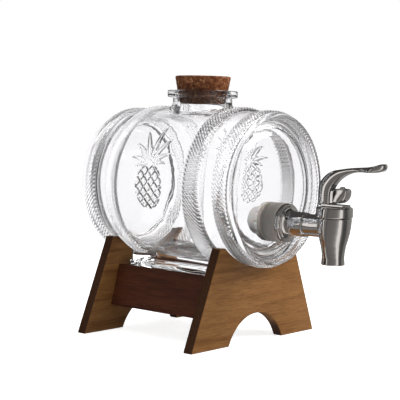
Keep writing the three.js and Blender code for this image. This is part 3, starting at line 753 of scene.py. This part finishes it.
def make_foot():
    """Square moulded foot with a small ledge above its base."""
    corner, half_width, half_length = 3.0, 27.5, 46.8
    sections = []
    for inset, z in ((0.9, 0), (0.2, 0.5), (0, 1.2), (0, 4.4), (0.3, 5.0), (1.1, 5.4), (1.3, 6.2),
                     (1.3, 18)):
        width, length = half_width - inset, half_length - inset
        loop = []
        for quarter, (side_x, side_y) in enumerate(((1, 1), (-1, 1), (-1, -1), (1, -1))):
            for step in range(9):
                angle = (quarter + step / 8) * math.pi / 2
                loop.append(((side_x * (width - corner) + corner * math.cos(angle)) * MM,
                             (side_y * (length - corner) + corner * math.sin(angle)) * MM + BARREL_Y,
                             FOOT_BOTTOM + z * MM))
        sections.append(loop)
    return loft("tool", sections)


def make_tap_hole():
    half = BARREL_HALF / MM
    return on_shank(turned("tool", [(0, half - 12), (8.6, half - 12), (8.6, half), (0, half)], 64, 0.1, 1))


def make_glass_barrel():
    barrel = joined(make_shell(), make_neck(), make_foot())
    cut(barrel, make_cavity(), make_bore(), make_tap_hole())
    return finish_piece(barrel, "barrel", "clear_glass", GLASS, "glass_barrel", sharp_degrees=55)


make_glass_barrel()

# ---------- cork ----------


def make_cork():
    """Tapered stopper with an uneven skin and small pits."""
    bottom, top = CORK_LOW.z / MM, CORK_HIGH.z / MM
    low_radius, high_radius = 17.0, (CORK_HIGH.x - CORK_LOW.x) / 2 / MM
    steps, mean_radius = 26, 18
    side = [(low_radius + (high_radius - low_radius) * step / steps,
             bottom + (top - bottom) * step / steps) for step in range(1, steps)]
    cork = turned("cork_stopper_skin", [
        (0, bottom), (9, bottom), (low_radius - 0.5, bottom + 0.02), (low_radius + 0.02, bottom + 0.6),
        *side, (high_radius - 0.1, top - 0.6), (high_radius - 0.7, top), (12, top), (6, top), (0, top)],
        120, 0.3, 2)
    on_barrel(cork)
    generator = np.random.default_rng(7)
    pits = [(generator.uniform(0, TAU), generator.uniform(bottom, top), generator.uniform(0.5, 1.3))
            for _ in range(90)]
    for vertex in cork.data.vertices:
        x, y, z = vertex.co.x, vertex.co.y - BARREL_Y, vertex.co.z / MM
        radius = math.hypot(x, y)
        if radius < 0.8 * low_radius * MM:
            continue
        angle = math.atan2(y, x) % TAU
        sink = 0.12 * (1 + math.sin(9 * angle + z) * math.sin(5 * angle - 0.7 * z))
        for pit_angle, pit_z, size in pits:
            around = abs((angle - pit_angle + math.pi) % TAU - math.pi) * mean_radius
            if around < size and abs(z - pit_z) < size:
                sink += 0.35 * (1 - math.hypot(around, z - pit_z) / (1.5 * size))
        share = 1 - max(sink, 0) * MM / radius
        vertex.co.x = x * share
        vertex.co.y = y * share + BARREL_Y
    return finish_piece(cork, "cork", "cork", CORK, "cork_stopper", sharp_degrees=60)


make_cork()

# ---------- tap, fixed pieces ----------


def forward(node):
    """Distances of a node's rear and front faces forward of the barrel's middle, in millimetres."""
    low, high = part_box(node)
    return (BARREL_Y - high.y) / MM, (BARREL_Y - low.y) / MM


def make_tap_body():
    """Threaded tail, flange, stepped shank and the upright with its spout."""
    tail = forward("tap_body")[0]
    flange = forward("outer_gasket")[1] + 0.3
    valve = (BARREL_Y - VALVE_Y) / MM
    shank = on_shank(turned("tap_body_cast", [
        (0, tail), (7.4, tail), (8, tail + 0.6), (8, flange), (13.75, flange), (13.75, flange + 2.1),
        (13.2, flange + 2.7), (11.9, flange + 2.9), (11.6, flange + 3.8), (10.5, flange + 4.3),
        (9.2, flange + 5.3), (8.6, flange + 7.4), (8.5, valve - 22.6), (8.0, valve - 22.2),
        (8.0, valve - 21.6), (7.75, valve - 21.2), (7.7, valve - 14), (7.6, valve - 7), (0, valve - 7),
    ], 96, 0.3, 4))
    low = SPOUT_BOTTOM / MM
    body_top = BONNET_BOTTOM / MM - 0.3
    cut(shank, on_valve(turned("tool", [(0, body_top), (13, body_top), (13, 110), (0, 110)], 96, 0.05, 1)))
    upright = on_valve(turned("tool", [
        (0, low), (7.8, low), (8.15, low + 0.5), (7.95, low + 2.4), (7.75, low + 5), (7.95, low + 8.5),
        (8.7, low + 13), (9.9, low + 17.2), (11.0, low + 21.6), (11.7, low + 26), (12.0, low + 29.4),
        (12.2, body_top), (10.2, body_top), (10.2, body_top + 2.9), (0, body_top + 2.9),
    ], 96, 0.9, 4))
    passage = on_valve(turned("tool", [
        (0, low - 1), (6.5, low - 1), (6.3, low + 0.6), (5.7, low + 2), (4.5, low + 8.6), (4.5, low + 14.6),
        (8.2, low + 18.3), (8.2, 110), (0, 110)], 64, 0.3, 2))
    bore = on_shank(turned("tool", [(0, tail - 1), (4.5, tail - 1), (4.5, valve), (0, valve)], 48, 0.05, 1))
    body = cut(joined(shank, upright), passage, bore)
    return finish_piece(body, "barrel", "chrome", CHROME, "tap_body", sharp_degrees=35)


def make_bonnet():
    """Smooth cap over the valve."""
    low, high = BONNET_BOTTOM / MM, BONNET_TOP / MM
    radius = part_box("tap_bonnet")[1].x / MM
    bonnet = on_valve(turned("tap_bonnet_cap", [
        (0, low), (radius - 0.4, low), (radius, low + 0.5), (radius, high - 1.0), (radius - 0.8, high),
        (0, high)], 144, 0.4, 4))
    inside = on_valve(turned("tool", [
        (0, low - 1), (10.5, low - 1), (10.5, high - 2.6), (1.9, high - 2.6), (1.9, high + 1),
        (0, high + 1)], 64, 0.05, 1))
    return finish_piece(cut(bonnet, inside), "barrel", "chrome", CHROME, "tap_bonnet", sharp_degrees=35)


def shank_hole(start, end):
    """Tool that clears the threaded shank through a nut or gasket."""
    return on_shank(turned("tool", [(0, start - 1), (NUT_HOLE, start - 1), (NUT_HOLE, end + 1),
                                    (0, end + 1)], 64, 0.05, 1))


def make_lock_nut():
    """Nut inside the barrel: a slim hub, and a wide flange with grip notches."""
    start, end = forward("lock_nut")
    rim = end - 2.4
    notches, notch_depth = 12, 0.7 * MM
    nut = on_shank(turned("lock_nut_notched", [
        (0, start), (9.4, start), (9.9, start + 0.6), (9.9, rim - 1.8), (12.8, rim - 1.0), (14, rim),
        (14, rim + 1.0), (14, end), (0, end)], 144, 0.3, 3))
    for vertex in nut.data.vertices:
        x, z = vertex.co.x, vertex.co.z - SHANK_Z
        radius = math.hypot(x, z)
        if radius > 12 * MM:
            share = 1 - notch_depth * max(0.0, math.cos(notches * math.atan2(z, x))) ** 4 / radius
            vertex.co.x *= share
            vertex.co.z = SHANK_Z + z * share
    return finish_piece(cut(nut, shank_hole(start, end)), "barrel", "nut_plastic", NUT_PLASTIC, "lock_nut")


def make_gasket(node):
    """A soft washer on the shank with rounded edges."""
    start, end = forward(node)
    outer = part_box(node)[1].x / MM
    washer = on_shank(turned(node + "_soft", [(0, start), (outer, start), (outer, end), (0, end)],
                             96, 0.5, 4))
    return finish_piece(cut(washer, shank_hole(start, end)), "barrel", "silicone", SILICONE, node)


make_tap_body()
make_bonnet()
lock_nut = make_lock_nut()
make_gasket("outer_gasket")
inner_gasket = make_gasket("inner_gasket")

# ---------- tap, moving pieces ----------

PIN_HOLE = 1.6 * MM  # radius


def make_spring():
    """Compression spring between washer and bonnet, made as one coil of fixed length; the real spring
    shortens as the stem lifts.
    """
    low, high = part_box("stem_spring")
    wire = 0.5 * MM
    coil = (high.x - low.x) / 2 - wire
    turns = 4.5
    steps = 150
    sections = []
    for step in range(steps + 1):
        t = step / steps
        angle = TAU * turns * t
        radial = Vector((math.cos(angle), math.sin(angle), 0))
        centre = Vector((0, VALVE_Y, low.z + wire + (high.z - low.z - 2 * wire) * t)) + radial * coil
        sections.append([centre + radial * (wire * math.cos(a)) + Vector((0, 0, wire * math.sin(a)))
                         for a in np.linspace(0, TAU, 10, endpoint=False)])
    spring = finish_piece(loft("stem_spring_coil", sections), "barrel", "steel", STEEL, "stem_spring")
    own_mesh(spring)
    return spring


def make_stem_head():
    """Chromed block on the stem: a round nose forward, a tongue for the hinge pin, a button on top."""
    low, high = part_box("stem_head")
    bottom, top = low.z / MM, high.z / MM - 1.3
    front = (BARREL_Y - low.y) / MM
    back = front - 11.0
    outline = [(-back, bottom), (-back, top - 3.5)]
    outline += [(-back - 3.5 + 3.5 * math.cos(a), top - 3.5 + 3.5 * math.sin(a))
                for a in np.linspace(0, math.pi / 2, 9)[1:]]
    outline += [(-front + 2.2 - 2.2 * math.sin(a), top - 2.2 + 2.2 * math.cos(a))
                for a in np.linspace(0, math.pi / 2, 9)]
    for t in np.linspace(0, 1, 9)[1:]:
        outline.append(((1 - t) ** 2 * -front + 2 * t * (1 - t) * -front + t ** 2 * (-front + 5.5),
                        (1 - t) ** 2 * (top - 2.2) + 2 * t * (1 - t) * (bottom + 2.0) + t ** 2 * bottom))
    half, chamfer = high.x / MM, 0.9
    loops = []
    centre = np.mean(outline, 0)
    outward = np.array(outline) - centre
    reach = np.linalg.norm(outward, axis=1)[:, None]
    for x, inset in ((-half, chamfer), (-half + chamfer, 0), (half - chamfer, 0), (half, chamfer)):
        ring = (centre + outward * (1 - inset / reach)) * MM
        loops.append([(x * MM, BARREL_Y + y, z) for y, z in ring])
    head = bevel(loft("stem_head_block", loops), 0.35 * MM, 3, 20)
    tongue_half, tongue_round = 2.4 * MM, 2.9 * MM
    neck = box_tool((-tongue_half, BARREL_Y - (back + 1.2) * MM, low.z),
                    (tongue_half, HINGE.y - 1.9 * MM, HINGE.z + tongue_round))
    boss = bar_along_x(tongue_round, -tongue_half, tongue_half, HINGE.y, HINGE.z, 48)
    button = move(turned("tool", [(0, top - 2), (2, top - 2), (2, top + 0.3), (1.5, top + 1.0),
                                  (0, top + 1.3)], 48, 0.3, 3),
                  Matrix.Translation((0, VALVE_Y - 6.2 * MM, 0)))
    socket = on_valve(turned("tool", [(0, bottom - 1), (1.9, bottom - 1), (1.9, 109.9), (0, 109.9)],
                             48, 0.05, 1))
    pin_hole = bar_along_x(PIN_HOLE, -5 * MM, 5 * MM, HINGE.y, HINGE.z)
    head = cut(joined(head, neck, boss, button), socket, pin_hole)
    return finish_piece(head, "stem", "chrome", CHROME, "stem_head", sharp_degrees=30)


def lever_stations():
    """Outside, inside and half width along the lever, from yoke to tip."""
    outer = [(-107.6, 104.6), (-107.6, 109), (-107.6, 113.2), (-108.4, 117.3), (-111.0, 121.0),
             (-114.8, 124.2), (-119.3, 126.3), (-125, 127.4), (-132, 128.5), (-139, 129.2),
             (-146, 129.8), (-152, 130.8), (-156.4, 132.2)]
    inner = [(-117.6, 104.6), (-117.6, 108), (-118.1, 112.0), (-119.6, 115.4), (-122.4, 118.8),
             (-125.4, 121.4), (-128.8, 123.4), (-132.8, 125.0), (-137, 125.8), (-142, 126.1),
             (-147, 126.0), (-151.5, 126.2), (-155.5, 127.0)]
    half_widths = [4.5, 4.5, 4.5, 4.5, 4.5, 4.5, 4.45, 4.25, 4.0, 4.1, 5.6, 6.45, 5.2]
    return outer, inner, half_widths


def spline(points, count):
    """Catmull-Rom curve through points of any dimension."""
    points = np.array(points, float)
    padded = np.concatenate([[2 * points[0] - points[1]], points, [2 * points[-1] - points[-2]]])
    out = []
    for place in np.linspace(0, len(points) - 1, count):
        index = min(int(place), len(points) - 2)
        t = place - index
        a, b, c, d = padded[index:index + 4]
        out.append(0.5 * (2 * b + (c - a) * t + (2 * a - 5 * b + 4 * c - d) * t ** 2
                          + (3 * b - a - 3 * c + d) * t ** 3))
    return np.array(out)


def lever_section(outer, inner, half_width):
    """Cross-section: well rounded, with a flatter face towards the stem."""
    outer, inner = np.array(outer), np.array(inner)
    centre = (outer + inner) / 2
    reach = (outer - inner) / 2
    loop = []
    for angle in np.linspace(0, TAU, 40, endpoint=False):
        side, out = math.cos(angle), math.sin(angle)
        power = 0.95 if out > 0 else 0.45
        width = half_width * math.copysign(abs(side) ** 0.62, side)
        place = centre + reach * math.copysign(abs(out) ** power, out)
        loop.append((width * MM, place[0] * MM + BARREL_Y, place[1] * MM))
    return loop


def lever_cap(outer, inner, half_width, steps):
    """Shrinking sections past one end of the lever; each step has a width share, a depth share, a shift."""
    centre, reach = (np.array(outer) + inner) / 2, (np.array(outer) - inner) / 2
    return [lever_section(centre + shift + reach * depth, centre + shift - reach * depth, half_width * width)
            for width, depth, shift in steps]


def make_lever():
    """Chromed lever: yoke around the stem head, arched arm, dished paddle with an upturned tip."""
    tip_half_width, foot_half_width = 5.2, 4.5
    outer, inner, half_widths = lever_stations()
    table = np.array([(*o, *i, w) for o, i, w in zip(outer, inner, half_widths)])
    stations = spline(table, 72)
    sections = [lever_section(row[0:2], row[2:4], row[4]) for row in stations]
    tip = lever_cap(outer[-1], inner[-1], tip_half_width, [
        (0.86, 0.98, (-1.6, 0.35)), (0.62, 0.74, (-2.8, 0.5)), (0.30, 0.42, (-3.6, 0.4)),
        (0.08, 0.20, (-3.85, 0.3))])
    foot = lever_cap(outer[0], inner[0], foot_half_width, [
        (0.55, 0.55, (0, -2.75)), (0.80, 0.80, (0, -2.5)), (0.94, 0.94, (0, -1.7))])
    lever = loft("tap_lever_arm", foot + sections + tip)
    plate_low = BONNET_TOP + 0.4 * MM
    plate_loops = []
    for z, inset in ((0, 0.35), (0.3, 0), (1.2, 0), (1.5, 0.35)):
        half = foot_half_width - inset
        side = [(half, 112), (half, 129.3), (half - 1.3, 130.9 - inset)]
        outline = [(-x, forward_y) for x, forward_y in side] + side[::-1]
        plate_loops.append([(x * MM, BARREL_Y - forward_y * MM, plate_low + z * MM)
                            for x, forward_y in outline])
    plate = loft("tool", plate_loops)
    slot_half = 2.7 * MM
    slot = box_tool((-slot_half, BARREL_Y - 124.2 * MM, 0.100), (slot_half, BARREL_Y - 111.6 * MM, 0.1165))
    dish = make_dish()
    pin_hole = bar_along_x(PIN_HOLE, -4.0 * MM, 8 * MM, HINGE.y, HINGE.z)
    lever = cut(joined(lever, plate), slot, dish, pin_hole)
    return finish_piece(lever, "lever", "chrome", CHROME, "tap_lever", sharp_degrees=32)


def make_dish():
    """Ellipsoid that hollows the top of the paddle."""
    rings = []
    for latitude in np.linspace(-math.pi / 2 + 0.05, math.pi / 2 - 0.05, 24):
        radius, height = math.cos(latitude), math.sin(latitude)
        rings.append([(5.0 * radius * math.cos(a), 9.6 * radius * math.sin(a), 2.3 * height)
                      for a in np.linspace(0, TAU, 48, endpoint=False)])
    place = Matrix.Translation((0, BARREL_Y - 150.2 * MM, 0.1322)) @ Matrix.Rotation(-0.16, 4, "X")
    dish = loft("tool", [[tuple(value * MM for value in point) for point in ring] for ring in rings])
    return move(dish, place)


make_spring()
make_stem_head()
make_lever()

# ---------- CAD nodes that stay ----------

for cad_node in frame["nodes"]:
    if cad_node.startswith("stand_dowel"):
        dress_node(cad_node, DOWEL_WOOD)
for cad_node in ("valve_stem", "spring_washer", "lever_pin"):
    dress_node(cad_node, STEEL)
for cad_node in ("valve_seat_cup", "bonnet_seal"):
    dress_node(cad_node, SILICONE)

# ---------- floor, light and camera ----------


class Studio(Nodes):
    """Node tree of the world: one background whose brightness depends on direction and kind of ray."""

    def __init__(self):
        world = bpy.data.worlds.new("studio")
        bpy.context.scene.world = world
        world.use_nodes = True
        self.tree = world.node_tree
        self.tree.nodes.clear()
        output = self.add("OutputWorld")
        self.background = self.add("Background")
        self.link(self.background.outputs[0], output.inputs["Surface"])


BACKDROP = Vector((0.76, 0.65, 0.0)).normalized()
# Brightness of what chrome reflects, by direction around the object: dark room, soft boxes, black flags.
REFLECTED = [(0.0, 0.14), (0.10, 0.16), (0.15, 0.20), (0.185, 0.4), (0.20, 0.85), (0.235, 0.85),
             (0.25, 0.20), (0.28, 0.07), (0.33, 0.08), (0.355, 0.18), (0.45, 0.28), (0.50, 0.32),
             (0.60, 0.14), (0.70, 0.05), (0.785, 0.02), (0.80, 0.12), (0.82, 0.12), (0.83, 0.02),
             (0.898, 0.02), (0.904, 0.90), (0.918, 0.90), (0.924, 0.03), (0.94, 0.20), (0.955, 0.24),
             (0.975, 0.10), (1.0, 0.12)]
REFLECTED_TINT = (1.0, 0.94, 0.88)
GLASS_TINT = (0.985, 0.98, 1.0)
WHITE = 1.15  # brightness of the backdrop through glass
ROOM_LIGHT = 0.42  # brightness of the room for matt surfaces
FLOOR_GLOW = 0.75
FLAG_GLOW = 0.06


def backdrop_share(nodes, direction):
    """0 to 1: how nearly a direction points at the backdrop."""
    facing = nodes.add("VectorMath")
    facing.operation = "DOT_PRODUCT"
    nodes.link(direction, facing.inputs[0])
    facing.inputs[1].default_value = BACKDROP
    return nodes.maths("ADD", nodes.maths("MULTIPLY", facing.outputs["Value"], 0.5), 0.5)


def mirrored_ray(nodes, path):
    """1 for a ray that left a shiny surface by reflection, 0 for one that was refracted."""
    return nodes.maths("MULTIPLY", path.outputs["Is Glossy Ray"], path.outputs["Is Reflection Ray"])


def reflected_strips(nodes, direction):
    """Brightness of the room for mirrors, by direction around the object."""
    parts = nodes.axes(direction)
    turn = nodes.maths("DIVIDE", nodes.maths("ARCTAN2", parts["Y"], parts["X"]), TAU)
    return nodes.ramp(nodes.maths("ADD", turn, 0.5), REFLECTED)


def make_floor():
    """Plain white floor: white to the camera and through glass, part of the dark room to chrome."""
    size = 6.0
    corners = [(-size, -size, 0), (size, -size, 0), (size, size, 0), (-size, size, 0)]
    floor = make_object("studio_floor", corners, [(0, 1, 2, 3)])
    nodes = Nodes("studio_floor")
    nodes.set(Base_Color=(0.86, 0.86, 0.86, 1), Roughness=0.9)
    outward = nodes.add("VectorMath")
    outward.operation = "NORMALIZE"
    nodes.link(nodes.place(), outward.inputs[0])
    direction = outward.outputs["Vector"]
    path = nodes.add("LightPath")
    glow = nodes.emission((1.0, 1.0, 1.0),
                          nodes.maths("MULTIPLY", path.outputs["Is Camera Ray"], FLOOR_GLOW))
    lit = nodes.add("AddShader")
    nodes.link(nodes.shader.outputs[0], lit.inputs[0])
    nodes.link(glow, lit.inputs[1])
    behind = nodes.ramp(backdrop_share(nodes, direction),
                        [(0.0, 0.10), (0.83, 0.10), (0.94, WHITE), (1.0, WHITE)])
    through_glass = nodes.emission(GLASS_TINT, behind)
    room = nodes.emission(REFLECTED_TINT, reflected_strips(nodes, direction))
    seen = nodes.mix_shader(path.outputs["Is Transmission Ray"], lit.outputs[0], through_glass)
    seen = nodes.mix_shader(mirrored_ray(nodes, path), seen, room)
    nodes.link(seen, nodes.output.inputs["Surface"])
    floor.data.materials.append(nodes.material)


def make_flag():
    """Dark card in front of the barrel that only mirrors see, so that the top of the shank stays dark."""
    y = BARREL_Y - 0.0735
    (left, low), (right, high) = (-0.02, 0.098), (0.07, 0.150)
    corners = [(left, y, low), (right, y, low), (right, y, high), (left, y, high)]
    flag = make_object("studio_flag", corners, [(0, 1, 2, 3)])
    nodes = Nodes("studio_flag")
    nodes.set(Base_Color=(0.0, 0.0, 0.0, 1), Specular_IOR_Level=0.0, Emission_Color=(*REFLECTED_TINT, 1),
              Emission_Strength=FLAG_GLOW)
    flag.data.materials.append(nodes.material)
    for kind in ("camera", "diffuse", "transmission", "shadow"):
        setattr(flag, "visible_" + kind, False)


def make_world():
    """White backdrop behind the object, a dark room with white strips for what glass and chrome see."""
    nodes = Studio()
    direction = nodes.add("TexCoord").outputs["Generated"]
    height = nodes.maths("ADD", nodes.maths("MULTIPLY", nodes.axes(direction)["Z"], 0.5), 0.5)
    backdrop = nodes.ramp(backdrop_share(nodes, direction), [
        (0.0, 0.30), (0.40, 0.06), (0.80, 0.04), (0.88, 0.45), (0.93, WHITE), (1.0, WHITE)])
    ceiling = nodes.ramp(height, [(0.0, 0.0), (0.82, 0.0), (0.86, 0.7), (0.93, 0.7), (0.96, 0.1),
                                  (1.0, 0.1)])
    through_glass = nodes.maths("MAXIMUM", backdrop, ceiling)
    overhead = nodes.ramp(height, [
        (0.0, 0.0), (0.72, 0.0), (0.735, 0.40), (0.75, 0.40), (0.765, 0.02), (0.90, 0.02), (0.91, 0.45),
        (0.925, 0.45), (0.935, 0.02), (1.0, 0.08)])
    above = nodes.ramp(height, [(0.0, 1.0), (0.70, 1.0), (0.76, 0.10), (1.0, 0.10)])
    strips = nodes.maths("MULTIPLY", reflected_strips(nodes, direction), above)
    reflected = nodes.maths("MAXIMUM", strips, overhead)
    path = nodes.add("LightPath")
    glossy, transmitted = mirrored_ray(nodes, path), path.outputs["Is Transmission Ray"]
    strength = nodes.maths("ADD", path.outputs["Is Camera Ray"],
                           nodes.maths("MULTIPLY", path.outputs["Is Diffuse Ray"], ROOM_LIGHT))
    for kind, value in ((glossy, reflected), (transmitted, through_glass)):
        strength = nodes.maths("ADD", nodes.maths("MULTIPLY", kind, value), strength)
    tinted = nodes.mix(transmitted, nodes.mix(glossy, (1.0, 1.0, 1.0), REFLECTED_TINT), GLASS_TINT)
    nodes.link(tinted, nodes.background.inputs["Color"])
    nodes.link(strength, nodes.background.inputs["Strength"])


def area_light(name, place, aim, size, power):
    data = bpy.data.lights.new(name, "AREA")
    data.shape = "RECTANGLE"
    data.size, data.size_y = size
    data.energy = power
    light = bpy.data.objects.new(name, data)
    light.location = place
    light.rotation_euler = (Vector(aim) - Vector(place)).to_track_quat("-Z", "Y").to_euler()
    light.visible_camera = False
    light.visible_glossy = False
    bpy.context.scene.collection.objects.link(light)
    return light


def light_inside(*pieces):
    """Soft light for the pieces behind the glass, which would block it as it comes in."""
    inside = bpy.data.collections.new("inside_the_glass")
    for piece in pieces:
        inside.objects.link(piece)
    light = area_light("inside", (-0.8, -0.5, 0.9), (0, 0, 0.09), (0.9, 0.9), 17)
    light.light_linking.receiver_collection = inside
    light.light_linking.blocker_collection = inside


CAMERA_PLACE = Vector((-0.6664, BARREL_Y - 0.5677, 0.1612))
CAMERA_AIM = Vector((0.7591, 0.6471, -0.0712))
CAMERA_ROLL = math.radians(1.27)


def make_camera():
    data = bpy.data.cameras.new("camera")
    data.lens = 105.8
    data.sensor_width = 36
    camera = bpy.data.objects.new("camera", data)
    turn = CAMERA_AIM.to_track_quat("-Z", "Y").to_matrix().to_4x4()
    camera.matrix_world = Matrix.Translation(CAMERA_PLACE) @ turn @ Matrix.Rotation(CAMERA_ROLL, 4, "Z")
    bpy.context.scene.collection.objects.link(camera)
    bpy.context.scene.camera = camera


make_floor()
make_flag()
make_world()
area_light("key", (0.9, -1.1, 1.0), (0, 0, 0.09), (0.9, 0.9), 24)
area_light("top", (0.0, 0.1, 1.5), (0, 0, 0.1), (1.2, 1.2), 10)
light_inside(lock_nut, inner_gasket)
make_camera()

scene = bpy.context.scene
scene.view_settings.view_transform = "Standard"
scene.cycles.max_bounces = 24
scene.cycles.transmission_bounces = 20
scene.cycles.glossy_bounces = 8
scene.cycles.transparent_max_bounces = 16
